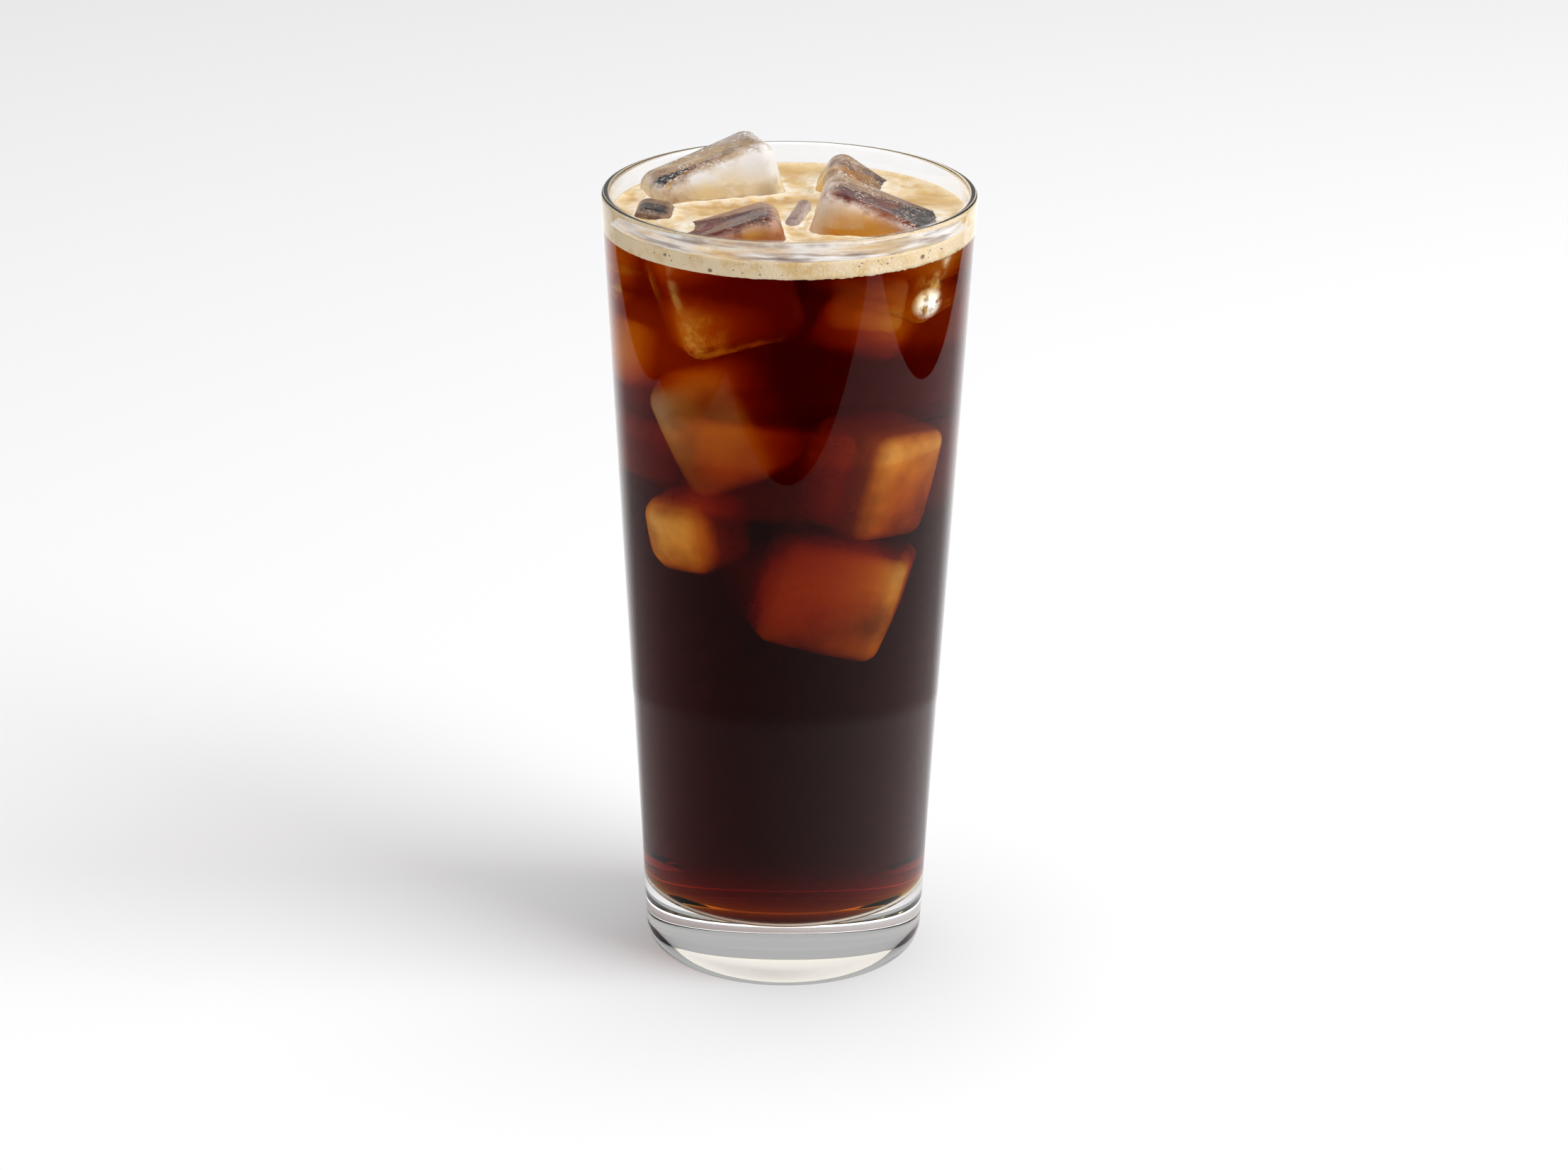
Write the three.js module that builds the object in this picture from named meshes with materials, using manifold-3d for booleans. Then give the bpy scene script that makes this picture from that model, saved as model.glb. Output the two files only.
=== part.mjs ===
// Iced coffee in a tall clear tumbler: glass, coffee, a thin foam, and five ice cubes and a chip of ice
// that stand out of it.
// Millimetres, +Z up. The origin is the centre of the tumbler's underside, on the table.
import * as THREE from 'three';
import { mergeVertices } from 'three/addons/utils/BufferGeometryUtils.js';
import Module from 'manifold-3d';

const wasm = await Module();
wasm.setup();

// Driving dimensions of the tumbler
const GLASS_HEIGHT = 160;
const RIM_RADIUS = 37.1;
const FOOT_RADIUS = 28.05;
const REST_RADIUS = 25.3;
const WALL_AT_RIM = 1.8;
const WALL_AT_FOOT = 2.3;
const HEEL_HEIGHT = 5;
const BASE_THICKNESS = 11.8;
const BASE_CROWN = 0.9;
const INNER_FILLET = 5;
const PUNT_RADIUS = 19.5;
const PUNT_DEPTH = 1.7;

// Driving levels of the drink
const COFFEE_LEVEL = 152.5;
const FOAM_LEVEL = 155.5;
const FOAM_CLIMB = 0.4;
const FOAM_CLIMB_WIDTH = 3;

// Clearance between pieces that touch in the real glass
const GAP = 0.3;

// Fineness of the faceted solids
const AROUND = 72;
const ARC_STEPS = 5;
const CUBE_FLAT_STEPS = 3;
const CUBE_ARC_STEPS = 2;

// Each cube: centre, half sizes, turn about Z, then X, then Y in degrees, edge radius,
// how much its lower face is narrower, and how far its faces are melted hollow.
const ICE_CUBES = {
  ice_tall: {
    centre: [-14.0, 15.2, 152.2], half: [13.2, 7.8, 11.4], turn: [18, -1, -19.5],
    round: 4.2, taper: 0.03, hollow: 0.5, colour: 0xe9e6df,
  },
  ice_right: {
    centre: [16.5, -7.0, 150.6], half: [13.4, 11.0, 9.6], turn: [-4, -3, 21],
    round: 4.2, taper: 0.03, hollow: 0.5, colour: 0xd9c3a4,
  },
  ice_back: {
    centre: [13.4, 18.7, 150.2], half: [10.0, 7.4, 7.8], turn: [-6, 3, 33],
    round: 3.6, taper: 0.02, hollow: 0.3, colour: 0xd8c8b0,
  },
  ice_front: {
    centre: [-10.6, -14.8, 146.2], half: [11.8, 9.8, 12], turn: [4, -3, -16],
    round: 4, taper: 0.03, hollow: 0.5, colour: 0xb98b62,
  },
  ice_left: {
    centre: [-27.5, -1.4, 148.3], half: [3.9, 5.6, 9.2], turn: [-4, 0, 9],
    round: 2.6, taper: 0.02, hollow: 0.2, colour: 0xa98560,
  },
  ice_chip: {
    centre: [1.75, -4.0, 155.7], half: [1.4, 6.8, 1.8], turn: [-12, 2, 3],
    round: 1.3, taper: 0, hollow: 0, colour: 0xb9a7a6,
  },
};

// Tumbler walls
function outerRadius(z) {
  return FOOT_RADIUS + (RIM_RADIUS - FOOT_RADIUS) * z / GLASS_HEIGHT;
}

function wallThickness(z) {
  return WALL_AT_FOOT + (WALL_AT_RIM - WALL_AT_FOOT) * z / GLASS_HEIGHT;
}

function innerRadius(z) {
  return outerRadius(z) - wallThickness(z);
}

// Quarter or half turns of an ellipse, as profile points from one angle to another
function arc(centreR, centreZ, radiusR, radiusZ, fromAngle, toAngle, steps) {
  const points = [];
  for (let i = 0; i <= steps; i += 1) {
    const angle = fromAngle + (toAngle - fromAngle) * i / steps;
    points.push(new THREE.Vector2(centreR + radiusR * Math.cos(angle), centreZ + radiusZ * Math.sin(angle)));
  }
  return points;
}

// The inner bottom: a shallow dish with its lowest point on the axis, rounded up into the wall.
// inset moves the whole profile inwards and upwards, for what fills the glass.
function innerBottomProfile(inset) {
  const cornerZ = BASE_THICKNESS + BASE_CROWN + INNER_FILLET;
  const cornerR = innerRadius(cornerZ) - inset;
  const filletCentreR = cornerR - INNER_FILLET;
  const dish = new THREE.Vector2(0, BASE_THICKNESS + inset);
  const fillet = arc(filletCentreR, cornerZ + inset, INNER_FILLET, INNER_FILLET, -Math.PI / 2, 0, ARC_STEPS);
  return [dish, ...fillet];
}

// A turned solid about +Z from its profile of radius and height, which starts and ends on the axis
function turned(profile) {
  const geometry = new THREE.LatheGeometry(profile, AROUND);
  geometry.rotateX(Math.PI / 2);
  return geometry;
}

function glassProfile() {
  const rimTube = WALL_AT_RIM / 2;
  const rimZ = GLASS_HEIGHT - rimTube;
  const punt = arc(0, 0, PUNT_RADIUS, PUNT_DEPTH, Math.PI / 2, 0, ARC_STEPS);
  punt[0].x = 0;
  const heelRadius = outerRadius(HEEL_HEIGHT) - REST_RADIUS;
  const heel = arc(REST_RADIUS, HEEL_HEIGHT, heelRadius, HEEL_HEIGHT, -Math.PI / 2, 0, ARC_STEPS);
  const rim = arc(RIM_RADIUS - rimTube, rimZ, rimTube, rimTube, 0, Math.PI, 2 * ARC_STEPS);
  const inside = innerBottomProfile(0).reverse();
  return [...punt, ...heel, ...rim, ...inside];
}

function coffeeProfile() {
  const top = [
    new THREE.Vector2(innerRadius(COFFEE_LEVEL) - GAP, COFFEE_LEVEL),
    new THREE.Vector2(0, COFFEE_LEVEL),
  ];
  return [...innerBottomProfile(GAP), ...top];
}

// The foam is a disc on the coffee that climbs a little where it meets the wall
function foamProfile() {
  const underside = COFFEE_LEVEL + GAP;
  const edgeLevel = FOAM_LEVEL + FOAM_CLIMB;
  const edgeRadius = innerRadius(edgeLevel) - GAP;
  return [
    new THREE.Vector2(0, underside),
    new THREE.Vector2(innerRadius(underside) - GAP, underside),
    new THREE.Vector2(edgeRadius, edgeLevel),
    new THREE.Vector2(edgeRadius - FOAM_CLIMB_WIDTH / 3, FOAM_LEVEL + FOAM_CLIMB / 3),
    new THREE.Vector2(edgeRadius - FOAM_CLIMB_WIDTH, FOAM_LEVEL),
    new THREE.Vector2(0, FOAM_LEVEL),
  ];
}

// Places across one face of a cube, closer together on the rounded edges
function facePlaces(half, round) {
  const flat = half - round;
  const places = [];
  for (let i = CUBE_ARC_STEPS; i > 0; i -= 1) {
    places.push(-flat - round * Math.tan(Math.PI / 4 * i / CUBE_ARC_STEPS));
  }
  for (let i = 0; i <= CUBE_FLAT_STEPS; i += 1) {
    places.push(-flat + 2 * flat * i / CUBE_FLAT_STEPS);
  }
  for (let i = 1; i <= CUBE_ARC_STEPS; i += 1) {
    places.push(flat + round * Math.tan(Math.PI / 4 * i / CUBE_ARC_STEPS));
  }
  return places;
}

// One point of an ice cube: the cube's own surface point is drawn in to the rounded edge,
// each face is melted a little hollow in its middle, and the cube narrows downwards.
function icePoint(point, half, round, taper, hollow) {
  const inner = new THREE.Vector3(
    THREE.MathUtils.clamp(point.x, round - half.x, half.x - round),
    THREE.MathUtils.clamp(point.y, round - half.y, half.y - round),
    THREE.MathUtils.clamp(point.z, round - half.z, half.z - round),
  );
  const outward = point.clone().sub(inner).normalize();
  const across = new THREE.Vector3(point.x / half.x, point.y / half.y, point.z / half.z);
  const bowl = (1 - across.x ** 2 + outward.x ** 2) * (1 - across.y ** 2 + outward.y ** 2)
    * (1 - across.z ** 2 + outward.z ** 2);
  const placed = inner.addScaledVector(outward, round - hollow * THREE.MathUtils.clamp(bowl, 0, 1));
  const narrow = 1 + taper * placed.z / half.z;
  placed.x *= narrow;
  placed.y *= narrow;
  return placed;
}

// A rounded cube from six square grids. grow makes it larger on every side.
function iceGeometry(cube, grow) {
  const half = new THREE.Vector3(...cube.half).addScalar(grow);
  const round = cube.round + grow;
  const positions = [];
  for (let axis = 0; axis < 3; axis += 1) {
    const acrossA = (axis + 1) % 3;
    const acrossB = (axis + 2) % 3;
    const placesA = facePlaces(half.getComponent(acrossA), round);
    const placesB = facePlaces(half.getComponent(acrossB), round);
    for (const side of [-1, 1]) {
      const corner = (i, j) => {
        const point = new THREE.Vector3();
        point.setComponent(axis, side * half.getComponent(axis));
        point.setComponent(acrossA, placesA[i]);
        point.setComponent(acrossB, placesB[j]);
        return icePoint(point, half, round, cube.taper, cube.hollow);
      };
      for (let i = 0; i + 1 < placesA.length; i += 1) {
        for (let j = 0; j + 1 < placesB.length; j += 1) {
          const square = [corner(i, j), corner(i + 1, j), corner(i + 1, j + 1), corner(i, j + 1)];
          const order = side > 0 ? [0, 1, 2, 0, 2, 3] : [0, 2, 1, 0, 3, 2];
          for (const index of order) {
            positions.push(...square[index].toArray());
          }
        }
      }
    }
  }
  const geometry = new THREE.BufferGeometry();
  geometry.setAttribute('position', new THREE.Float32BufferAttribute(positions, 3));
  const [aboutZ, aboutX, aboutY] = cube.turn.map(THREE.MathUtils.degToRad);
  geometry.applyMatrix4(new THREE.Matrix4().makeRotationFromEuler(new THREE.Euler(aboutX, aboutY, aboutZ, 'ZXY')));
  geometry.translate(...cube.centre);
  return geometry;
}

// Solids for cutting
const MERGE_DISTANCE = 1e-4;

function toSolid(geometry) {
  const bare = geometry.clone();
  bare.deleteAttribute('normal');
  bare.deleteAttribute('uv');
  const merged = mergeVertices(bare, MERGE_DISTANCE);
  const triangles = [];
  const index = merged.index.array;
  for (let i = 0; i < index.length; i += 3) {
    const [a, b, c] = [index[i], index[i + 1], index[i + 2]];
    if (a !== b && b !== c && c !== a) {
      triangles.push(a, b, c);
    }
  }
  return new wasm.Manifold(new wasm.Mesh({
    numProp: 3,
    vertProperties: new Float32Array(merged.attributes.position.array),
    triVerts: new Uint32Array(triangles),
  }));
}

function toGeometry(solid) {
  const mesh = solid.getMesh();
  const geometry = new THREE.BufferGeometry();
  geometry.setAttribute('position', new THREE.BufferAttribute(new Float32Array(mesh.vertProperties), 3));
  geometry.setIndex(new THREE.BufferAttribute(new Uint32Array(mesh.triVerts), 1));
  geometry.computeVertexNormals();
  return geometry;
}

// What is left of a layer once room is cut for every cube. Loose scraps are dropped.
function cutRoundIce(layer) {
  let rest = toSolid(turned(layer));
  for (const cube of Object.values(ICE_CUBES)) {
    rest = rest.subtract(toSolid(iceGeometry(cube, GAP)));
  }
  const bodies = rest.decompose();
  bodies.sort((a, b) => b.volume() - a.volume());
  return toGeometry(bodies[0]);
}

function named(name, geometry, colour, roughness, opacity) {
  const material = new THREE.MeshStandardMaterial({ color: colour, roughness, metalness: 0 });
  material.transparent = opacity < 1;
  material.opacity = opacity;
  const mesh = new THREE.Mesh(geometry, material);
  mesh.name = name;
  return mesh;
}

const drink = new THREE.Group();
drink.add(named('glass', toGeometry(toSolid(turned(glassProfile()))), 0xf2f5f6, 0.03, 0.3));
drink.add(named('coffee', cutRoundIce(coffeeProfile()), 0x2c120a, 0.05, 1));
drink.add(named('foam', cutRoundIce(foamProfile()), 0xd8ba84, 0.7, 1));
for (const [name, cube] of Object.entries(ICE_CUBES)) {
  drink.add(named(name, toGeometry(toSolid(iceGeometry(cube, 0))), cube.colour, 0.15, 0.8));
}

export default drink;
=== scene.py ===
import math

import bpy
import numpy as np
from mathutils import Matrix, Vector


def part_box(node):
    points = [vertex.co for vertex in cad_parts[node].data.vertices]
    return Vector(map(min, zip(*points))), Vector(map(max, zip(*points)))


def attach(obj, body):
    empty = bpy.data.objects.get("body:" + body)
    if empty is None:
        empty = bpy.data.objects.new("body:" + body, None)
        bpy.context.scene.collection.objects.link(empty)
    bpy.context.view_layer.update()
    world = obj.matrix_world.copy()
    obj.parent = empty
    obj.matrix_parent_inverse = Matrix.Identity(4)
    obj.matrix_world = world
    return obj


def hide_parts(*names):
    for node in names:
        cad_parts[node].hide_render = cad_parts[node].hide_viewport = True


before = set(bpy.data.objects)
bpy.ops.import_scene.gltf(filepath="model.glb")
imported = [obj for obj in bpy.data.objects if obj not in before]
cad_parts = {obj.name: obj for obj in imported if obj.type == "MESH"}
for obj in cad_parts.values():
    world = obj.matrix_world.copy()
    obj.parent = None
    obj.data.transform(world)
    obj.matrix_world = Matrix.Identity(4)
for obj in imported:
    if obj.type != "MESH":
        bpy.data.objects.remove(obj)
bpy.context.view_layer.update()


# The tumbler
# A pressed soda-lime glass: a straight slightly flared wall, a fire-polished rim, and a thick base with a
# rounded heel and a shallow hollow under it. It stands on the ring round that hollow.

GLASS_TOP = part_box("glass")[1].z
RIM_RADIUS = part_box("glass")[1].x
FOOT_RADIUS = 0.02805
REST_RADIUS = 0.0253
WALL_AT_RIM = 0.0018
WALL_AT_FOOT = 0.0023
HEEL_HEIGHT = 0.005
BASE_THICKNESS = 0.0118
BASE_CROWN = 0.0009
INNER_FILLET = 0.005
PUNT_RADIUS = 0.0195
PUNT_DEPTH = 0.0017
COFFEE_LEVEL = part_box("coffee")[1].z
FOAM_LEVEL = 0.1555
GLASS_AROUND = 256
WALL_STEPS = 24
RIM_STEPS = 16
HEEL_STEPS = 14
REST_STEPS = 3
PUNT_STEPS = 16
FILLET_STEPS = 14
SODA_LIME_IOR = 1.5
COFFEE_IOR = 1.333


def outer_radius(height):
    """The outer wall is a cone: the foot's radius plus the flare times the share of the height."""
    return FOOT_RADIUS + (RIM_RADIUS - FOOT_RADIUS) * height / GLASS_TOP


def inner_radius(height):
    """The outer radius less a wall that thins in proportion to the height."""
    return outer_radius(height) - WALL_AT_FOOT - (WALL_AT_RIM - WALL_AT_FOOT) * height / GLASS_TOP


def arc(centre_r, centre_z, radius_r, radius_z, start, end, steps):
    """Points of an ellipse's arc: centre + radius * (cos a, sin a) for a from start to end."""
    angle = np.linspace(start, end, steps + 1)
    return np.stack([centre_r + radius_r * np.cos(angle), centre_z + radius_z * np.sin(angle)], 1)


def straight(start, end, steps):
    """Points evenly along a straight line, without its two ends."""
    share = np.linspace(0, 1, steps + 1)[1:-1, None]
    return np.array(start) * (1 - share) + np.array(end) * share


def inner_bottom(inset):
    """The dished inner bottom from the axis out, then the fillet up into the wall, moved in by inset."""
    corner_z = BASE_THICKNESS + BASE_CROWN + INNER_FILLET
    fillet_r = inner_radius(corner_z) - inset - INNER_FILLET
    fillet = arc(fillet_r, corner_z + inset, INNER_FILLET, INNER_FILLET, -math.pi / 2, 0, FILLET_STEPS)
    share = np.linspace(0, 1, FILLET_STEPS)[:-1, None]
    low = BASE_THICKNESS + inset
    dish = np.hstack([share * fillet_r, low + BASE_CROWN * share**2])
    return np.vstack([dish, fillet])


def mesh_piece(name, points, faces, materials, face_material=None):
    """A smooth-shaded mesh object at the origin from an array of points and a list of faces."""
    mesh = bpy.data.meshes.new(name)
    mesh.from_pydata(points.tolist(), [], faces)
    for material in materials:
        mesh.materials.append(material)
    if face_material is not None:
        mesh.polygons.foreach_set("material_index", np.asarray(face_material, dtype=np.int32))
    mesh.polygons.foreach_set("use_smooth", np.ones(len(mesh.polygons), bool))
    mesh.update()
    piece = bpy.data.objects.new(name, mesh)
    bpy.context.scene.collection.objects.link(piece)
    return piece


def turned(profile, around):
    """Points and faces of a closed turned body. A profile point (r, z) at angle t goes to
    (r cos t, r sin t, z). The first and last points lie on the axis and are one vertex each."""
    angle = np.linspace(0, 2 * math.pi, around, endpoint=False)
    rings = profile[1:-1]
    grid = np.stack([
        rings[:, None, 0] * np.cos(angle),
        rings[:, None, 0] * np.sin(angle),
        np.repeat(rings[:, None, 1], around, axis=1),
    ], -1).reshape(-1, 3)
    start = np.array([[0, 0, profile[0, 1]]])
    end = np.array([[0, 0, profile[-1, 1]]])
    points = np.vstack([start, grid, end])
    index = 1 + np.arange(len(rings) * around).reshape(len(rings), around)
    after = np.roll(index, -1, axis=1)
    quads = np.stack([index[:-1], after[:-1], after[1:], index[1:]], -1).reshape(-1, 4)
    first = np.stack([np.zeros(around, int), after[0], index[0]], -1)
    last = np.stack([np.full(around, len(points) - 1), index[-1], after[-1]], -1)
    return points, first.tolist() + quads.tolist() + last.tolist()


class Wire:
    """One output socket of a shader tree. + - and * on wires and numbers add Math nodes."""

    def __init__(self, socket):
        self.socket = socket
        self.tree = socket.id_data

    @staticmethod
    def node(tree, kind, settings=None, inputs=None, output=0):
        """Any node: its settings first (a ramp's stops as a list of place and colour), then its inputs."""
        made = tree.nodes.new(kind)
        for key, value in (settings or {}).items():
            if key == "stops":
                while len(made.color_ramp.elements) < len(value):
                    made.color_ramp.elements.new(0.5)
                for element, (place, colour) in zip(made.color_ramp.elements, value):
                    element.position = place
                    element.color = (*colour, 1)
            else:
                setattr(made, key, value)
        for key, value in (inputs or {}).items():
            if isinstance(value, Wire):
                tree.links.new(value.socket, made.inputs[key])
            else:
                made.inputs[key].default_value = value
        return Wire(made.outputs[output])

    def maths(self, operation, first, second):
        """A Math node's result for two wires or numbers."""
        return Wire.node(self.tree, "ShaderNodeMath", {"operation": operation}, {0: first, 1: second})

    def __add__(self, other):
        return self.maths("ADD", self, other)

    def __radd__(self, other):
        return self.maths("ADD", other, self)

    def __sub__(self, other):
        return self.maths("SUBTRACT", self, other)

    def __rsub__(self, other):
        return self.maths("SUBTRACT", other, self)

    def __mul__(self, other):
        return self.maths("MULTIPLY", self, other)

    def __rmul__(self, other):
        return self.maths("MULTIPLY", other, self)


def new_material(name):
    """A material with only an output node, and its tree."""
    material = bpy.data.materials.new(name)
    material.use_nodes = True
    material.node_tree.nodes.clear()
    return material, material.node_tree


def finish_material(tree, surface, volume=None):
    """Joins the surface, and the volume where there is one, to a new output node."""
    output = tree.nodes.new("ShaderNodeOutputMaterial")
    tree.links.new(surface.socket, output.inputs["Surface"])
    if volume is not None:
        tree.links.new(volume.socket, output.inputs["Volume"])


def lets_lamps_through(tree, shader):
    """The shader as the eye sees it, and clear for rays from lamps and for light between dull surfaces,
    so that what is in the glass is lit without noise."""
    path = Wire.node(tree, "ShaderNodeLightPath")
    node = path.socket.node
    shadow = Wire(node.outputs["Is Shadow Ray"])
    diffuse = Wire(node.outputs["Is Diffuse Ray"])
    either = shadow.maths("MAXIMUM", shadow, diffuse)
    clear = Wire.node(tree, "ShaderNodeBsdfTransparent")
    return Wire.node(tree, "ShaderNodeMixShader", None, {0: either, 1: shader, 2: clear})


def clear_glass(name, ior, sheen=1.0):
    """Smooth colourless glass. Where coffee wets the wall, ior is the glass's over the coffee's, and the
    sheen there is lost."""
    material, tree = new_material(name)
    glass = Wire.node(tree, "ShaderNodeBsdfPrincipled", None, {
        "Base Color": (1, 1, 1, 1), "Roughness": 0, "IOR": ior, "Transmission Weight": 1,
        "Specular Tint": (sheen, sheen, sheen, 1),
    })
    finish_material(tree, lets_lamps_through(tree, glass))
    return material


def tumbler_profile():
    """The tumbler's outline from the hollow's crown, out over the rest, up the wall, over the rim and
    down inside to the middle of the inner bottom. Also the number of points before the inside's wet part."""
    rim_tube = WALL_AT_RIM / 2
    rim_z = GLASS_TOP - rim_tube
    punt = arc(0, 0, PUNT_RADIUS, PUNT_DEPTH, math.pi / 2, 0, PUNT_STEPS)
    punt[0, 0] = 0
    rest = straight((PUNT_RADIUS, 0), (REST_RADIUS, 0), REST_STEPS)
    heel_width = outer_radius(HEEL_HEIGHT) - REST_RADIUS
    heel = arc(REST_RADIUS, HEEL_HEIGHT, heel_width, HEEL_HEIGHT, -math.pi / 2, 0, HEEL_STEPS)
    wall = straight(heel[-1], (RIM_RADIUS, rim_z), WALL_STEPS)
    rim = arc(RIM_RADIUS - rim_tube, rim_z, rim_tube, rim_tube, 0, math.pi, RIM_STEPS)
    wet_top = np.array([[inner_radius(FOAM_LEVEL), FOAM_LEVEL]])
    bottom = inner_bottom(0)[::-1]
    inside = straight(wet_top[0], bottom[0], WALL_STEPS)
    dry = np.vstack([punt, rest, heel, wall, rim, wet_top])
    return np.vstack([dry, inside, bottom]), len(dry)


glass_outline, dry_count = tumbler_profile()
points, faces = turned(glass_outline, GLASS_AROUND)
wet = np.zeros(len(faces), int)
wet[GLASS_AROUND * (dry_count - 1):] = 1
tumbler = mesh_piece("tumbler", points, faces, [
    clear_glass("clear glass", SODA_LIME_IOR),
    clear_glass("clear glass wetted by coffee", SODA_LIME_IOR / COFFEE_IOR, 0.0),
], wet)
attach(tumbler, "root")
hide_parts("glass")


# The ice cubes
# Frozen in trays: about 25 mm across, with melted round edges, faces that have melted a little hollow,
# clear at the rim and frosted with fine trapped air. Five and a chip of ice stand out of the foam, and the
# others are sunk.

MM = 0.001

# Millimetres, and degrees about Z, X and Y. stain_top and each stain's place along X are in metres.
STANDING = {
    "ice_tall": dict(
        centre=(-14.0, 15.2, 152.2), half=(13.2, 7.8, 11.4), turn=(18, -1, -19.5), round=4.2, taper=0.03,
        hollow=0.5, pale=(0.93, 0.94, 0.95), stain_top=0.1600,
        stains=[(-0.026, (0.72, 0.60, 0.42)), (-0.016, (0.90, 0.70, 0.30)), (-0.004, (0.92, 0.80, 0.55))]),
    "ice_right": dict(
        centre=(16.5, -7.0, 150.6), half=(13.4, 11.0, 9.6), turn=(-4, -3, 21), round=4.2, taper=0.03,
        hollow=0.5, pale=(0.84, 0.78, 0.72), stain_top=0.1640,
        stains=[(0.006, (0.90, 0.80, 0.62)), (0.0095, (0.80, 0.36, 0.01)), (0.016, (0.78, 0.36, 0.02)),
                (0.021, (0.42, 0.20, 0.12)), (0.028, (0.30, 0.20, 0.17))]),
    "ice_back": dict(
        centre=(13.4, 18.7, 150.2), half=(10.0, 7.4, 7.8), turn=(-6, 3, 33), round=3.6, taper=0.02,
        hollow=0.3, pale=(0.72, 0.64, 0.60), stain_top=0.1615,
        stains=[(0.006, (0.86, 0.66, 0.36)), (0.013, (0.82, 0.52, 0.16)), (0.018, (0.42, 0.33, 0.32))]),
    "ice_front": dict(
        centre=(-10.6, -14.8, 146.2), half=(11.8, 9.8, 12), turn=(4, -3, -16), round=4, taper=0.03,
        hollow=0.5, pale=(0.62, 0.42, 0.34), stain_top=0.1620,
        stains=[(-0.020, (0.36, 0.16, 0.10)), (-0.011, (0.42, 0.18, 0.07)), (-0.006, (0.70, 0.34, 0.05)),
                (-0.001, (0.40, 0.18, 0.10))]),
    "ice_left": dict(
        centre=(-27.5, -1.4, 148.3), half=(3.9, 5.6, 9.2), turn=(-4, 0, 9), round=2.6, taper=0.02,
        hollow=0.2, pale=(0.50, 0.40, 0.33), stain_top=0.1590,
        stains=[(-0.030, (0.34, 0.24, 0.17)), (-0.024, (0.24, 0.16, 0.11))]),
    "ice_chip": dict(
        centre=(1.75, -4.0, 155.7), half=(1.4, 6.8, 1.8), turn=(-12, 2, 3), round=1.3, taper=0.0,
        hollow=0.0, pale=(0.50, 0.42, 0.42), stain_top=0.1590,
        stains=[(0.0, (0.36, 0.28, 0.28)), (0.003, (0.46, 0.38, 0.38))]),
}

# Millimetres and degrees again. cloud is how milky the ice is, soaked how much coffee it holds, and nearer
# the axis than clear_to it is clear.
SUNKEN = {
    "sunken_ice_left": dict(
        centre=(-11.0, -15.0, 118.0), half=(9.0, 9.8, 11.6), turn=(-22, 4, -25), round=3.2, taper=0.03,
        hollow=-0.6, cloud=0.27, coffee_soak_and_top_shade=0.1, clear_to=20),
    "sunken_ice_right": dict(
        centre=(14.2, -12.3, 107.0), half=(9.0, 9.4, 11), turn=(52, 12, 8), round=3.0, taper=0.03,
        hollow=-0.8, cloud=0.66, coffee_soak_and_top_shade=0.95, clear_to=8),
    "sunken_ice_low_right": dict(
        centre=(7.4, -12.2, 82.4), half=(11.6, 9.4, 11), turn=(6, 0, 17), round=2.8, taper=0.03,
        hollow=-0.8, cloud=0.6, coffee_soak_and_top_shade=0.2, clear_to=8),
    "sunken_ice_low_left": dict(
        centre=(-15.6, -13.4, 95.4), half=(7.7, 8.2, 7.4), turn=(-42, 8, -6), round=4.4, taper=0.03,
        hollow=-0.7, cloud=0.95, coffee_soak_and_top_shade=0.7, clear_to=8),
    "sunken_ice_back_left": dict(
        centre=(-13.4, 13.4, 128.0), half=(9.4, 9.4, 9.2), turn=(45, 3, -3), round=3.4, taper=0.0,
        hollow=0.2, cloud=0.1, coffee_soak_and_top_shade=0, clear_to=20),
    "sunken_ice_back_right": dict(
        centre=(13.0, 17.4, 132.2), half=(10, 8.4, 6), turn=(-36, 3, 4), round=3.0, taper=0.03,
        hollow=0.2, cloud=0.1, coffee_soak_and_top_shade=0, clear_to=20),
    "sunken_ice_middle": dict(
        centre=(11.2, -3.6, 135.6), half=(7.4, 8.2, 5.0), turn=(-4, -3, 21), round=2.8, taper=0.03,
        hollow=0.2, cloud=0.1, coffee_soak_and_top_shade=0, clear_to=20),
    "sunken_ice_front_right": dict(
        centre=(14.0, -24.2, 145.4), half=(7.6, 3.3, 5.6), turn=(17, -3, 10), round=2.4, taper=0.0,
        hollow=0.2, cloud=0.05, coffee_soak_and_top_shade=0, clear_to=20),
    "sunken_ice_back": dict(
        centre=(-3.4, 15.2, 101.0), half=(11, 10.5, 10), turn=(8, -5, 9), round=3.4, taper=0.03,
        hollow=0.2, cloud=0.1, coffee_soak_and_top_shade=0, clear_to=20),
    "sunken_ice_far_right": dict(
        centre=(18.6, 10.0, 102.0), half=(7, 7.5, 9), turn=(24, 8, -9), round=3.2, taper=0.03,
        hollow=0.2, cloud=0.3, coffee_soak_and_top_shade=0, clear_to=20),
    "sunken_ice_far_left": dict(
        centre=(-21.4, 3.4, 107.6), half=(6, 6.6, 6.3), turn=(8, -4, 12), round=3.0, taper=0.03,
        hollow=0.2, cloud=0.3, coffee_soak_and_top_shade=0, clear_to=20),
    "sunken_ice_under_left": dict(
        centre=(-25.2, 0.2, 128.0), half=(4.6, 7.0, 7.0), turn=(4, -4, 6), round=3.0, taper=0.03,
        hollow=0.2, cloud=0.15, coffee_soak_and_top_shade=0, clear_to=20),
    "sunken_ice_low_back": dict(
        centre=(3.5, 12, 78.5), half=(10, 9.5, 9.0), turn=(24, 6, -14), round=3.4, taper=0.03,
        hollow=0.2, cloud=0.3, coffee_soak_and_top_shade=0, clear_to=20),
}
ICE_IOR = 1.31
CUBE_STEPS = 30
# Dark brown painted into the upward faces of the standing cubes as shade.
TOP_PAINTED_SHADE = (0.25, 0.16, 0.12)

# Points of a cube that fall together, to this many millimetres, are one.
SAME_POINT = 0.001

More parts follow.
